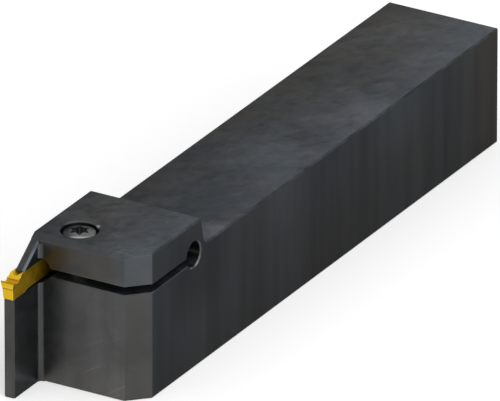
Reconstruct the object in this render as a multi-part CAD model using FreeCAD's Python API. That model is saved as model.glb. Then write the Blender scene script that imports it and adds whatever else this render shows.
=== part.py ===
"""Left-hand parting and grooving holder for a lathe: a one-piece steel holder with a spring jaw,
a double-ended carbide insert and the cap screw that closes the jaw on it.

Millimetres. +X runs forward along the shank to the cutting edge, +Y to the left and +Z up.
The origin is at the rear end of the shank, mid-width, on its underside.
"""
import FreeCAD, Part
import math
import os

# Shank and overall length
TOOL_LENGTH = 150.0  # rear end to cutting edge
SHANK_WIDTH = 25.0
SHANK_HEIGHT = 25.0
CUTTING_HEIGHT = SHANK_HEIGHT  # the cutting edge is level with the shank's top
EDGE_BREAK = 0.4
REAR_END_CHAMFER = 0.3

# Raised head
HEAD_RISE = 6.0
REAR_LEAN_ANGLE = 12.0  # of the rear face, from upright
REAR_ROOT_RADIUS = 1.4
CORNER_CHAMFER = 4.0
GROOVE_REACH = 10.3  # head face to cutting edge, the deepest groove it can cut
BEVEL_BEHIND_FACE = 1.38  # head's face back to where the nose starts to slope down

# Thin blade under the insert, and its land along the head's right side
BLADE_THICKNESS = 2.3
BLADE_PROUD = 0.3  # beyond the side of the shank
BLADE_SETBACK = 0.45  # behind the cutting edge
BLADE_FRONT_BREAK = 0.45
BLADE_TOE_BREAK = 0.3
BLADE_ROOT_RADIUS = 1.1
LAND_BEHIND_POCKET = 2.4
LAND_RAMP = 1.2

# Sloping nose of the jaw, above the insert and flush with the shank's right side
NOSE_SETBACK = 4.5  # behind the cutting edge
NOSE_TIP_HEIGHT = 0.25
NOSE_EDGE_BREAK = 0.4

# Seat of the insert
FIT_CLEARANCE = 0.03  # insert to its seats
STOP_CLEARANCE = 0.1  # insert's rear end to the stop
RELIEF_BORE_RADIUS = 2.65  # round clearance beside the insert
RAIL_HEIGHT = 0.5  # V rail under the jaw
RAIL_BASE = 1.68
RAIL_TIP = 0.4
RAIL_ROOT = 0.1  # how deep the rail is sunk in the jaw

# Slit and the hole that makes the jaw springy
SLIT_HEIGHT = 1.7
SLIT_DROP = 1.35  # slit's middle below the cutting edge
HINGE_HOLE_RADIUS = 2.65
HINGE_BEHIND_POCKET = 9.1  # pocket's end back to the middle of the hole
HEAD_BEHIND_HINGE = 2.9  # middle of the hole back to the head's top rear edge
HINGE_HOLE_DROP = 0.7  # below the cutting edge
HINGE_HOLE_BREAK = 0.25

# Clamping screw and its holes
SCREW_BEHIND_FACE = 6.35  # head's face back to the screw's axis
SCREW_OFFSET = 5.2  # right of the middle of the shank
SCREW_DIAMETER = 5.0
SCREW_LENGTH = 18.0  # under the head
SCREW_HEAD_DIAMETER = 6.8
SCREW_HEAD_HEIGHT = 3.4
SCREW_HEAD_CROWN = 0.45  # fall of the domed top from its middle to its rounded rim
SCREW_HEAD_ROUND = 0.5
SCREW_TIP_CHAMFER = 0.6
SOCKET_TIP_WIDTH = 3.94  # across opposite lobes
SOCKET_FLUTE_WIDTH = 2.82  # across opposite flutes
SOCKET_LOBE_RADIUS = 0.305
SOCKET_DEPTH = 2.0
SOCKET_ANGLE = 30.0  # one lobe's direction from +X
COUNTERBORE_CLEARANCE = 0.35
COUNTERBORE_BREAK = 0.25
JAW_HOLE_CLEARANCE = 0.12
THREAD_CLEARANCE = 0.03
HEAD_SEAT_CLEARANCE = 0.02
TAPPED_HOLE_SPARE = 2.0  # below the tip of the screw
DRILL_POINT_ANGLE = 118.0

# Double-ended insert
INSERT_LENGTH = 21.0
INSERT_EDGE_WIDTH = 3.0
INSERT_BODY_WIDTH = 2.4
INSERT_BASE_WIDTH = 2.2
INSERT_TOP_RISE = 0.55  # clamped top above the cutting edge
INSERT_FOOT_DROP = 3.85
INSERT_WAIST_DROP = 3.45
INSERT_FOOT_LENGTH = 5.0
INSERT_FOOT_RAMP = 1.2
INSERT_TAPER_LENGTH = 4.6
INSERT_CORNER_RADIUS = 0.3
EDGE_LAND = 0.15
CLEARANCE_ANGLE = 5.0
UPPER_CLEARANCE_HEIGHT = 1.4
CLEARANCE_STEP = 0.14
CHIP_GROOVE_LENGTH = 2.0
CHIP_GROOVE_DEPTH = 0.6
CHIP_GROOVE_END_DROP = 0.58  # where the step behind the groove starts, below the cutting edge
CHIP_STEP_LENGTH = 0.25  # low step behind the groove
CHIP_STEP_RISE = 0.6
LEDGE_LENGTH = 0.6  # nearly level, between the step and the wall
LEDGE_DIP = 0.1
WALL_LENGTH = 0.45  # from the ledge to the clamped top
WALL_ROUND = 0.2

# Places worked out from the sizes above
OVERSHOOT = 1.0  # how far a cutting tool runs past the face it cuts
HEAD_TOP = SHANK_HEIGHT + HEAD_RISE
RIGHT_SIDE_Y = -SHANK_WIDTH / 2
HEAD_FACE_X = TOOL_LENGTH - GROOVE_REACH
BLADE_FRONT_X = TOOL_LENGTH - BLADE_SETBACK
BLADE_OUTER_Y = RIGHT_SIDE_Y - BLADE_PROUD
BLADE_INNER_Y = BLADE_OUTER_Y + BLADE_THICKNESS
BLADE_MIDDLE_Y = (BLADE_OUTER_Y + BLADE_INNER_Y) / 2
SEAT_Z = CUTTING_HEIGHT - INSERT_FOOT_DROP - FIT_CLEARANCE
INSERT_TOP_Z = CUTTING_HEIGHT + INSERT_TOP_RISE
JAW_UNDERSIDE_Z = INSERT_TOP_Z + FIT_CLEARANCE
RAIL_TIP_Z = JAW_UNDERSIDE_Z - RAIL_HEIGHT
POCKET_END_X = TOOL_LENGTH - INSERT_LENGTH - STOP_CLEARANCE
LAND_REAR_X = POCKET_END_X - LAND_BEHIND_POCKET
NOSE_TIP_X = TOOL_LENGTH - NOSE_SETBACK
NOSE_TIP_Z = JAW_UNDERSIDE_Z + NOSE_TIP_HEIGHT
BEVEL_START_X = HEAD_FACE_X - BEVEL_BEHIND_FACE
BEVEL_SLOPE = (HEAD_TOP - NOSE_TIP_Z) / (NOSE_TIP_X - BEVEL_START_X)
SLIT_MIDDLE_Z = CUTTING_HEIGHT - SLIT_DROP
SLIT_BOTTOM_Z = SLIT_MIDDLE_Z - SLIT_HEIGHT / 2
HINGE_HOLE_X = POCKET_END_X - HINGE_BEHIND_POCKET
HINGE_HOLE_Z = CUTTING_HEIGHT - HINGE_HOLE_DROP
HEAD_REAR_X = HINGE_HOLE_X - HEAD_BEHIND_HINGE
SCREW_X = HEAD_FACE_X - SCREW_BEHIND_FACE
SCREW_Y = -SCREW_OFFSET
SCREW_HEAD_TOP_Z = HEAD_TOP
SCREW_SEAT_Z = SCREW_HEAD_TOP_Z - SCREW_HEAD_HEIGHT
SCREW_TIP_Z = SCREW_SEAT_Z - SCREW_LENGTH


def wire_of(path, to_vector):
    """Closed wire through a path of points; a pair of points is an arc's middle and its end."""
    edges = []
    last = to_vector(*path[0])
    for step in path[1:] + [path[0]]:
        if isinstance(step[0], tuple):
            middle = to_vector(*step[0])
            end = to_vector(*step[1])
            edges.append(Part.Arc(last, middle, end).toShape())
        else:
            end = to_vector(*step)
            edges.append(Part.LineSegment(last, end).toShape())
        last = end
    return Part.Wire(edges)


def side_prism(path, y_low, y_high):
    """Solid whose outline is drawn in X and Z and runs along Y."""
    wire = wire_of(path, lambda x, z: FreeCAD.Vector(x, y_low, z))
    return Part.Face(wire).extrude(FreeCAD.Vector(0, y_high - y_low, 0))


def long_prism(path, x_low, x_high):
    """Solid whose outline is drawn in Y and Z and runs along X."""
    wire = wire_of(path, lambda y, z: FreeCAD.Vector(x_low, y, z))
    return Part.Face(wire).extrude(FreeCAD.Vector(x_high - x_low, 0, 0))


def plan_prism(path, z_low, z_high):
    """Solid whose outline is drawn in X and Y and runs along Z."""
    wire = wire_of(path, lambda x, y: FreeCAD.Vector(x, y, z_low))
    return Part.Face(wire).extrude(FreeCAD.Vector(0, 0, z_high - z_low))


def box(x_low, x_high, y_low, y_high, z_low, z_high):
    """Box between two corners."""
    corner = FreeCAD.Vector(x_low, y_low, z_low)
    return Part.makeBox(x_high - x_low, y_high - y_low, z_high - z_low, corner)


def bevel_height(x):
    """Height of the sloping nose plane at x."""
    return NOSE_TIP_Z + (NOSE_TIP_X - x) * BEVEL_SLOPE


def head_and_shank():
    """Shank and raised head as one milled block, with its outer edges broken."""
    half = SHANK_WIDTH / 2
    lean = math.radians(REAR_LEAN_ANGLE)
    tangent = REAR_ROOT_RADIUS * math.tan((math.pi / 2 - lean) / 2)
    root_x = HEAD_REAR_X - HEAD_RISE * math.tan(lean)
    centre_x = root_x - tangent
    centre_z = SHANK_HEIGHT + REAR_ROOT_RADIUS
    middle_angle = -(math.pi / 2 + lean) / 2
    arc_middle = (
        centre_x + REAR_ROOT_RADIUS * math.cos(middle_angle),
        centre_z + REAR_ROOT_RADIUS * math.sin(middle_angle),
    )
    arc_top = (
        centre_x + REAR_ROOT_RADIUS * math.cos(lean),
        centre_z - REAR_ROOT_RADIUS * math.sin(lean),
    )
    outline = [
        (0.0, 0.0),
        (0.0, SHANK_HEIGHT),
        (centre_x, SHANK_HEIGHT),
        (arc_middle, arc_top),
        (HEAD_REAR_X, HEAD_TOP),
        (BEVEL_START_X, HEAD_TOP),
        (HEAD_FACE_X, bevel_height(HEAD_FACE_X)),
        (HEAD_FACE_X, 0.0),
    ]
    block = side_prism(outline, -half, half)
    corner = [
        (HEAD_FACE_X - CORNER_CHAMFER, half),
        (HEAD_FACE_X, half - CORNER_CHAMFER),
        (HEAD_FACE_X + OVERSHOOT, half - CORNER_CHAMFER),
        (HEAD_FACE_X + OVERSHOOT, half + OVERSHOOT),
        (HEAD_FACE_X - CORNER_CHAMFER, half + OVERSHOOT),
    ]
    block = block.cut(plan_prism(corner, -OVERSHOOT, HEAD_TOP + OVERSHOOT))
    rounded = block.makeFillet(EDGE_BREAK, outer_edges(block))
    return rounded.cut(rear_end_tools())


def outer_edges(block):
    """Edges of the block, without the rear end's and the two lines that bound the hollow root."""
    chosen = []
    for edge in block.Edges:
        bounds = edge.BoundBox
        at_rear_end = bounds.XMax < EDGE_BREAK
        across = bounds.YLength > SHANK_WIDTH / 2
        in_root = bounds.ZMin > SHANK_HEIGHT - EDGE_BREAK and bounds.ZMax < HEAD_TOP - EDGE_BREAK
        bounds_root = across and in_root and bounds.XMax < HEAD_REAR_X
        if not at_rear_end and not bounds_root:
            chosen.append(edge)
    return chosen


def rear_end_tools():
    """Cutters that chamfer the four edges of the shank's rear end."""
    half = SHANK_WIDTH / 2
    forward = FreeCAD.Vector(1, 0, 0)
    tools = []
    for y in (-half, half):
        start = FreeCAD.Vector(0, y, -OVERSHOOT)
        end = FreeCAD.Vector(0, y, SHANK_HEIGHT + OVERSHOOT)
        tools.append(edge_tool(start, end, forward, FreeCAD.Vector(0, -y, 0), REAR_END_CHAMFER))
    for z, inward in ((0.0, 1), (SHANK_HEIGHT, -1)):
        start = FreeCAD.Vector(0, -half - OVERSHOOT, z)
        end = FreeCAD.Vector(0, half + OVERSHOOT, z)
        tools.append(edge_tool(start, end, forward, FreeCAD.Vector(0, 0, inward), REAR_END_CHAMFER))
    return tools


def blade():
    """Thin blade under the insert, with the land that runs back along the head's side."""
    slab = plan_prism(blade_outline(), 0.0, SEAT_Z)
    back = FreeCAD.Vector(-1, 0, 0)
    inward = FreeCAD.Vector(0, 1, 0)
    up = FreeCAD.Vector(0, 0, 1)
    toe_start = FreeCAD.Vector(BLADE_FRONT_X, BLADE_OUTER_Y - OVERSHOOT, 0)
    toe_end = FreeCAD.Vector(BLADE_FRONT_X, BLADE_INNER_Y + OVERSHOOT, 0)
    side_start = FreeCAD.Vector(LAND_REAR_X - OVERSHOOT, BLADE_OUTER_Y, 0)
    side_end = FreeCAD.Vector(BLADE_FRONT_X + OVERSHOOT, BLADE_OUTER_Y, 0)
    return slab.cut([
        edge_tool(toe_start, toe_end, back, up, BLADE_TOE_BREAK),
        edge_tool(side_start, side_end, inward, up, BLADE_PROUD),
    ])


def blade_outline():
    """Plan of the blade and its land, front corners broken."""
    return [
        (LAND_REAR_X, RIGHT_SIDE_Y),
        (LAND_REAR_X + LAND_RAMP, BLADE_OUTER_Y),
        (BLADE_FRONT_X - BLADE_FRONT_BREAK, BLADE_OUTER_Y),
        (BLADE_FRONT_X, BLADE_OUTER_Y + BLADE_FRONT_BREAK),
        (BLADE_FRONT_X, BLADE_INNER_Y - BLADE_FRONT_BREAK),
        (BLADE_FRONT_X - BLADE_FRONT_BREAK, BLADE_INNER_Y),
        (LAND_REAR_X, BLADE_INNER_Y),
    ]


def nose():
    """Sloping nose of the jaw that reaches out over the insert, with its long edges broken."""
    inside_x = HEAD_FACE_X - EDGE_BREAK
    round_size = NOSE_TIP_HEIGHT / 4
    outline = [
        (inside_x, JAW_UNDERSIDE_Z),
        (NOSE_TIP_X - round_size, JAW_UNDERSIDE_Z),
        (
            (NOSE_TIP_X + round_size, JAW_UNDERSIDE_Z + NOSE_TIP_HEIGHT / 3),
            (NOSE_TIP_X, NOSE_TIP_Z),
        ),
        (inside_x, bevel_height(inside_x)),
    ]
    slab = side_prism(outline, RIGHT_SIDE_Y, BLADE_INNER_Y)
    tools = []
    for start_x, y, way in ((inside_x - OVERSHOOT, RIGHT_SIDE_Y, 1), (HEAD_FACE_X, BLADE_INNER_Y, -1)):
        start = FreeCAD.Vector(start_x, y, bevel_height(start_x))
        end_x = NOSE_TIP_X + OVERSHOOT
        end = FreeCAD.Vector(end_x, y, bevel_height(end_x))
        down_side = FreeCAD.Vector(-BEVEL_SLOPE, 0, -1)
        tools.append(edge_tool(start, end, FreeCAD.Vector(0, way, 0), down_side, NOSE_EDGE_BREAK))
    return slab.cut(tools)


def blade_root():
    """Hollow root between the blade's side and the face of the head, its top below the nose's edge."""
    x = HEAD_FACE_X
    drop = NOSE_EDGE_BREAK * math.hypot(1.0, BEVEL_SLOPE)
    y = BLADE_INNER_Y
    r = BLADE_ROOT_RADIUS
    inset = r * (1 - math.sqrt(0.5))
    corner = [
        (x - EDGE_BREAK, y - EDGE_BREAK),
        (x + r, y - EDGE_BREAK),
        (x + r, y),
        ((x + inset, y + inset), (x, y + r)),
        (x - EDGE_BREAK, y + r),
    ]
    root = plan_prism(corner, 0.0, HEAD_TOP)
    over = [
        (x - OVERSHOOT, bevel_height(x - OVERSHOOT) - drop),
        (x + OVERSHOOT + r, bevel_height(x + OVERSHOOT + r) - drop),
        (x + OVERSHOOT + r, HEAD_TOP + OVERSHOOT),
        (x - OVERSHOOT, HEAD_TOP + OVERSHOOT),
    ]
    return root.cut(side_prism(over, y - OVERSHOOT, y + r + OVERSHOOT))


def edge_tool(start, end, along_first, along_second, size):
    """Three-sided cutter that breaks a straight edge; the two directions lie in its faces."""
    first = FreeCAD.Vector(along_first).normalize()
    second = FreeCAD.Vector(along_second).normalize()
    on_first = start + first * size
    on_second = start + second * size
    spread = on_first - on_second
    corners = [on_first + spread, on_second - spread, start - (first + second) * size]
    face = Part.Face(Part.makePolygon(corners + [corners[0]]))
    return face.extrude(end - start)


def insert_pocket():
    """Open-sided pocket for the insert, with the round clearance bored beside it."""
    length = HEAD_FACE_X + BLADE_ROOT_RADIUS + OVERSHOOT - POCKET_END_X
    seat = box(
        POCKET_END_X, POCKET_END_X + length,
        BLADE_OUTER_Y - OVERSHOOT, BLADE_INNER_Y,
        SEAT_Z, JAW_UNDERSIDE_Z,
    )
    axis_start = FreeCAD.Vector(POCKET_END_X, BLADE_INNER_Y, SEAT_Z + RELIEF_BORE_RADIUS)
    bore = Part.makeCylinder(RELIEF_BORE_RADIUS, length, axis_start, FreeCAD.Vector(1, 0, 0))
    inner_half = box(
        POCKET_END_X, POCKET_END_X + length,
        BLADE_INNER_Y, BLADE_INNER_Y + RELIEF_BORE_RADIUS + OVERSHOOT,
        SEAT_Z - OVERSHOOT, HEAD_TOP,
    )
    return seat.fuse(bore.common(inner_half))


def jaw_rail(x_low, x_high, growth):
    """V rail under the jaw that presses into the top of the insert, grown sideways and at its tip."""
    half_base = RAIL_BASE / 2 + growth
    half_tip = RAIL_TIP / 2 + growth
    tip_z = RAIL_TIP_Z - growth
    root_z = JAW_UNDERSIDE_Z + RAIL_ROOT
    section = [
        (BLADE_MIDDLE_Y - half_base, root_z),
        (BLADE_MIDDLE_Y - half_base, JAW_UNDERSIDE_Z),
        (BLADE_MIDDLE_Y - half_tip, tip_z),
        (BLADE_MIDDLE_Y + half_tip, tip_z),
        (BLADE_MIDDLE_Y + half_base, JAW_UNDERSIDE_Z),
        (BLADE_MIDDLE_Y + half_base, root_z),
    ]
    return long_prism(section, x_low, x_high)


def slit_and_hinge_hole():
    """Saw slit that parts the jaw from the body, and the round hole that it ends in."""
    half = SHANK_WIDTH / 2
    slit = box(
        HINGE_HOLE_X, HEAD_FACE_X + BLADE_ROOT_RADIUS + OVERSHOOT,
        BLADE_INNER_Y, half + OVERSHOOT,
        SLIT_BOTTOM_Z, SLIT_BOTTOM_Z + SLIT_HEIGHT,
    )
    slit = slit.fuse(box(
        HINGE_HOLE_X, POCKET_END_X + OVERSHOOT,
        BLADE_OUTER_Y - OVERSHOOT, BLADE_INNER_Y + OVERSHOOT,
        SLIT_BOTTOM_Z, SLIT_BOTTOM_Z + SLIT_HEIGHT,
    ))
    start = FreeCAD.Vector(HINGE_HOLE_X, -half - OVERSHOOT, HINGE_HOLE_Z)
    hole = Part.makeCylinder(
        HINGE_HOLE_RADIUS, SHANK_WIDTH + 2 * OVERSHOOT, start, FreeCAD.Vector(0, 1, 0)
    )
    tool = slit.fuse(hole)
    wide = HINGE_HOLE_RADIUS + HINGE_HOLE_BREAK
    for side in (-1, 1):
        mouth = FreeCAD.Vector(HINGE_HOLE_X, side * half, HINGE_HOLE_Z)
        inward = FreeCAD.Vector(0, -side, 0)
        rim = Part.makeCone(wide, HINGE_HOLE_RADIUS, HINGE_HOLE_BREAK, mouth, inward)
        tool = tool.fuse(rim)
    return tool


def screw_holes():
    """Counterbore and clear hole through the jaw, and the tapped hole below the slit."""
    down = FreeCAD.Vector(0, 0, -1)
    counterbore_radius = SCREW_HEAD_DIAMETER / 2 + COUNTERBORE_CLEARANCE
    seat_z = SCREW_SEAT_Z - HEAD_SEAT_CLEARANCE
    mouth = FreeCAD.Vector(SCREW_X, SCREW_Y, HEAD_TOP + OVERSHOOT)
    counterbore = Part.makeCylinder(counterbore_radius, mouth.z - seat_z, mouth, down)
    rim = Part.makeCone(
        counterbore_radius + COUNTERBORE_BREAK, counterbore_radius, COUNTERBORE_BREAK,
        FreeCAD.Vector(SCREW_X, SCREW_Y, HEAD_TOP), down,
    )
    clear_start = FreeCAD.Vector(SCREW_X, SCREW_Y, seat_z)
    clear_radius = SCREW_DIAMETER / 2 + JAW_HOLE_CLEARANCE
    clear_hole = Part.makeCylinder(clear_radius, seat_z - SLIT_MIDDLE_Z, clear_start, down)
    tapped_radius = SCREW_DIAMETER / 2 + THREAD_CLEARANCE
    tapped_start = FreeCAD.Vector(SCREW_X, SCREW_Y, SLIT_MIDDLE_Z)
    tapped_depth = SLIT_MIDDLE_Z - SCREW_TIP_Z + TAPPED_HOLE_SPARE
    tapped = Part.makeCylinder(tapped_radius, tapped_depth, tapped_start, down)
    point_depth = tapped_radius / math.tan(math.radians(DRILL_POINT_ANGLE / 2))
    point_start = FreeCAD.Vector(SCREW_X, SCREW_Y, SLIT_MIDDLE_Z - tapped_depth)
    point = Part.makeCone(tapped_radius, 0.0, point_depth, point_start, down)
    return counterbore.fuse([rim, clear_hole, tapped, point])


def make_holder_body():
    """The one-piece holder: shank, head, blade, spring jaw and all its holes."""
    body = head_and_shank().fuse([blade(), nose(), blade_root()])
    body = body.cut([insert_pocket(), slit_and_hinge_hole(), screw_holes()])
    rail = jaw_rail(POCKET_END_X - FIT_CLEARANCE, NOSE_TIP_X - NOSE_TIP_HEIGHT / 4, 0.0)
    return body.fuse(rail).removeSplitter()


def insert_side_outline():
    """Side view of the double-ended insert: one end's path, then the same path turned round."""
    z = CUTTING_HEIGHT
    lean = math.tan(math.radians(CLEARANCE_ANGLE))
    upper_run = UPPER_CLEARANCE_HEIGHT * lean
    lower_run = (INSERT_FOOT_DROP - UPPER_CLEARANCE_HEIGHT) * lean
    step_run = upper_run + CLEARANCE_STEP
    groove_end = EDGE_LAND + CHIP_GROOVE_LENGTH
    step_end = groove_end + CHIP_STEP_LENGTH
    step_z = z - CHIP_GROOVE_END_DROP + CHIP_STEP_RISE
    wall_start = step_end + LEDGE_LENGTH
    wall_end = wall_start + WALL_LENGTH
    wall_rise = INSERT_TOP_Z - step_z
    round_run = WALL_ROUND * WALL_LENGTH / math.hypot(WALL_LENGTH, wall_rise)
    round_drop = WALL_ROUND * wall_rise / math.hypot(WALL_LENGTH, wall_rise)
    end_path = [
        (INSERT_FOOT_LENGTH + INSERT_FOOT_RAMP, z - INSERT_WAIST_DROP),
        (INSERT_FOOT_LENGTH, z - INSERT_FOOT_DROP),
        (step_run + lower_run, z - INSERT_FOOT_DROP),
        (step_run, z - UPPER_CLEARANCE_HEIGHT - CLEARANCE_STEP),
        (upper_run, z - UPPER_CLEARANCE_HEIGHT),
        (0.0, z),
        (EDGE_LAND, z),
        (
            (EDGE_LAND + CHIP_GROOVE_LENGTH * 0.6, z - CHIP_GROOVE_DEPTH),
            (groove_end, z - CHIP_GROOVE_END_DROP),
        ),
        (step_end, step_z),
        ((step_end + LEDGE_LENGTH / 2, step_z - LEDGE_DIP), (wall_start, step_z)),
        (wall_end - round_run, INSERT_TOP_Z - round_drop),
        (
            (wall_end - round_run * 0.25, INSERT_TOP_Z - round_drop * 0.35),
            (wall_end + WALL_ROUND, INSERT_TOP_Z),
        ),
    ]
    front = [mirror_step(step, TOOL_LENGTH, -1) for step in end_path]
    rear = reversed_path([mirror_step(step, TOOL_LENGTH - INSERT_LENGTH, 1) for step in end_path])
    return front + rear


def mirror_step(step, origin, way):
    """A path step measured from one end of the insert, placed along X."""
    if isinstance(step[0], tuple):
        return tuple((origin + way * x, z) for x, z in step)
    return (origin + way * step[0], step[1])


def reversed_path(path):
    """The same path walked from its end to its start, arcs kept."""
    ends = [step[1] if isinstance(step[0], tuple) else step for step in path]
    back = [ends[-1]]
    for index in range(len(path) - 1, 0, -1):
        step = path[index]
        if isinstance(step[0], tuple):
            back.append((step[0], ends[index - 1]))
        else:
            back.append(ends[index - 1])
    return back


def insert_plan_outline():
    """Top view of the insert: wide at both cutting edges, with rounded corners."""
    half_edge = INSERT_EDGE_WIDTH / 2
    half_body = INSERT_BODY_WIDTH / 2
    r = INSERT_CORNER_RADIUS
    inset = r * (1 - math.sqrt(0.5))
    middle_y = BLADE_MIDDLE_Y
    front = TOOL_LENGTH
    rear = TOOL_LENGTH - INSERT_LENGTH
    return [
        (front, middle_y + half_edge - r),
        (
            (front - inset, middle_y + half_edge - inset),
            (front - r, middle_y + half_edge),
        ),
        (front - INSERT_TAPER_LENGTH, middle_y + half_body),
        (rear + INSERT_TAPER_LENGTH, middle_y + half_body),
        (rear + r, middle_y + half_edge),
        (
            (rear + inset, middle_y + half_edge - inset),
            (rear, middle_y + half_edge - r),
        ),
        (rear, middle_y - half_edge + r),
        (
            (rear + inset, middle_y - half_edge + inset),
            (rear + r, middle_y - half_edge),
        ),
        (rear + INSERT_TAPER_LENGTH, middle_y - half_body),
        (front - INSERT_TAPER_LENGTH, middle_y - half_body),
        (front - r, middle_y - half_edge),
        (
            (front - inset, middle_y - half_edge + inset),
            (front, middle_y - half_edge + r),
        ),
    ]


def make_insert():
    """Double-ended insert with a V groove along its top."""
    half_edge = INSERT_EDGE_WIDTH / 2
    half_base = INSERT_BASE_WIDTH / 2
    foot_z = CUTTING_HEIGHT - INSERT_FOOT_DROP
    side = side_prism(
        insert_side_outline(), BLADE_MIDDLE_Y - half_edge, BLADE_MIDDLE_Y + half_edge
    )
    plan = plan_prism(insert_plan_outline(), foot_z, INSERT_TOP_Z)
    half_body = INSERT_BODY_WIDTH / 2
    waist_z = CUTTING_HEIGHT - UPPER_CLEARANCE_HEIGHT
    section = [
        (BLADE_MIDDLE_Y - half_base, foot_z),
        (BLADE_MIDDLE_Y - half_body, waist_z),
        (BLADE_MIDDLE_Y - half_edge, CUTTING_HEIGHT),
        (BLADE_MIDDLE_Y - half_edge, INSERT_TOP_Z),
        (BLADE_MIDDLE_Y + half_edge, INSERT_TOP_Z),
        (BLADE_MIDDLE_Y + half_edge, CUTTING_HEIGHT),
        (BLADE_MIDDLE_Y + half_body, waist_z),
        (BLADE_MIDDLE_Y + half_base, foot_z),
    ]
    rear = TOOL_LENGTH - INSERT_LENGTH
    front_view = long_prism(section, rear, TOOL_LENGTH)
    groove = jaw_rail(rear - OVERSHOOT, TOOL_LENGTH + OVERSHOOT, FIT_CLEARANCE)
    return side.common(plan).common(front_view).cut(groove).removeSplitter()


def socket_outline():
    """Six-lobe socket, seen from above: round lobes joined by the hollow flutes that touch them."""
    lobe_r = SOCKET_LOBE_RADIUS
    lobe_at = SOCKET_TIP_WIDTH / 2 - lobe_r
    flute_at_wall = SOCKET_FLUTE_WIDTH / 2
    cosine = math.cos(math.radians(30))
    excess = lobe_r ** 2 - flute_at_wall ** 2 - lobe_at ** 2 + 2 * lobe_at * flute_at_wall * cosine
    flute_r = excess / (2 * (flute_at_wall - lobe_at * cosine - lobe_r))
    flute_at = flute_at_wall + flute_r

    def around(distance, degrees):
        angle = math.radians(degrees + SOCKET_ANGLE)
        return (SCREW_X + distance * math.cos(angle), SCREW_Y + distance * math.sin(angle))

    def touching(lobe_degrees, flute_degrees):
        lobe = around(lobe_at, lobe_degrees)
        flute = around(flute_at, flute_degrees)
        share = lobe_r / (lobe_r + flute_r)
        return (lobe[0] + (flute[0] - lobe[0]) * share, lobe[1] + (flute[1] - lobe[1]) * share)

    path = [touching(0, -30)]
    for lobe_degrees in range(0, 360, 60):
        next_lobe = lobe_degrees + 60
        flute_degrees = lobe_degrees + 30
        path.append((around(SOCKET_TIP_WIDTH / 2, lobe_degrees), touching(lobe_degrees, flute_degrees)))
        path.append((around(flute_at_wall, flute_degrees), touching(next_lobe, flute_degrees)))
    return path


def make_screw():
    """Cap screw with a rounded head and a six-lobe socket, its thread drawn at full width."""
    radius = SCREW_DIAMETER / 2
    head_radius = SCREW_HEAD_DIAMETER / 2
    r = SCREW_HEAD_ROUND
    inset = r * (1 - math.sqrt(0.5))
    top = SCREW_HEAD_TOP_Z
    rim_z = top - SCREW_HEAD_CROWN
    dome_radius = ((head_radius - r) ** 2 + SCREW_HEAD_CROWN ** 2) / (2 * SCREW_HEAD_CROWN)
    half_way = (head_radius - r) / 2
    half_way_drop = dome_radius - math.sqrt(dome_radius ** 2 - half_way ** 2)
    profile = [
        (0.0, SCREW_TIP_Z),
        (radius - SCREW_TIP_CHAMFER, SCREW_TIP_Z),
        (radius, SCREW_TIP_Z + SCREW_TIP_CHAMFER),
        (radius, SCREW_SEAT_Z),
        (head_radius, SCREW_SEAT_Z),
        (head_radius, rim_z - r),
        ((head_radius - inset, rim_z - inset), (head_radius - r, rim_z)),
        ((half_way, top - half_way_drop), (0.0, top)),
    ]
    wire = wire_of(profile, lambda x, z: FreeCAD.Vector(SCREW_X + x, SCREW_Y, z))
    axis_point = FreeCAD.Vector(SCREW_X, SCREW_Y, 0)
    screw = Part.Face(wire).revolve(axis_point, FreeCAD.Vector(0, 0, 1), 360)
    path = socket_outline()
    socket = closed_prism(path, top - SOCKET_DEPTH, SOCKET_DEPTH + OVERSHOOT)
    return screw.cut(socket)


def closed_prism(path, z_low, height):
    """Upright solid from a path whose last step already ends at its first point."""
    edges = []
    last = FreeCAD.Vector(path[0][0], path[0][1], z_low)
    for middle, end in path[1:]:
        through = FreeCAD.Vector(middle[0], middle[1], z_low)
        stop = FreeCAD.Vector(end[0], end[1], z_low)
        edges.append(Part.Arc(last, through, stop).toShape())
        last = stop
    return Part.Face(Part.Wire(edges)).extrude(FreeCAD.Vector(0, 0, height))


def main():
    """Build every piece and write it as its own file."""
    os.makedirs("parts", exist_ok=True)
    pieces = {
        "holder_body": make_holder_body(),
        "cutting_insert": make_insert(),
        "clamp_screw": make_screw(),
    }
    for name, shape in pieces.items():
        shape.exportStep("parts/" + name + ".step")
        print(name, shape.isValid(), len(shape.Solids), round(shape.Volume, 2), shape.BoundBox)


main()
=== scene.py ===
"""Turning tool holder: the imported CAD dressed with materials, floor, light and camera.

Metres, in the CAD's frame: +X runs forward to the cutting edge, +Y to the left and +Z up. Places and
widths on the tool are written in millimetres. A level is how light a surface is: 1 leaves its colour as
it is written.
"""

import bpy
import math
from mathutils import Matrix, Vector


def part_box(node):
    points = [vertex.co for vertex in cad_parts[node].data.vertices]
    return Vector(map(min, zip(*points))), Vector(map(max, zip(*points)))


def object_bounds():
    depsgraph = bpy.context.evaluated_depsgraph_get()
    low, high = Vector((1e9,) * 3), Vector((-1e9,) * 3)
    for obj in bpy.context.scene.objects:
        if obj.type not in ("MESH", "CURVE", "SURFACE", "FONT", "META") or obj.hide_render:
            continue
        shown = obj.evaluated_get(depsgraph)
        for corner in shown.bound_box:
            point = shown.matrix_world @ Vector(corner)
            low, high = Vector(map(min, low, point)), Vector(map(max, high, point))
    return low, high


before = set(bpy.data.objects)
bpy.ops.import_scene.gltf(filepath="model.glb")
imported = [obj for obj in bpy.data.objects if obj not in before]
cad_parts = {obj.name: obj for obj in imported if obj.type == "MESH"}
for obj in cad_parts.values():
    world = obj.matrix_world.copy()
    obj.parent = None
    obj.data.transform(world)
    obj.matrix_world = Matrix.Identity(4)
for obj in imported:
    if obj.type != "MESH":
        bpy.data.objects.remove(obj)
cad_low, cad_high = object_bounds()

MM = 0.001
OFF_TO_ON = (0.0, 1.0)
ON_TO_OFF = (1.0, 0.0)

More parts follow.
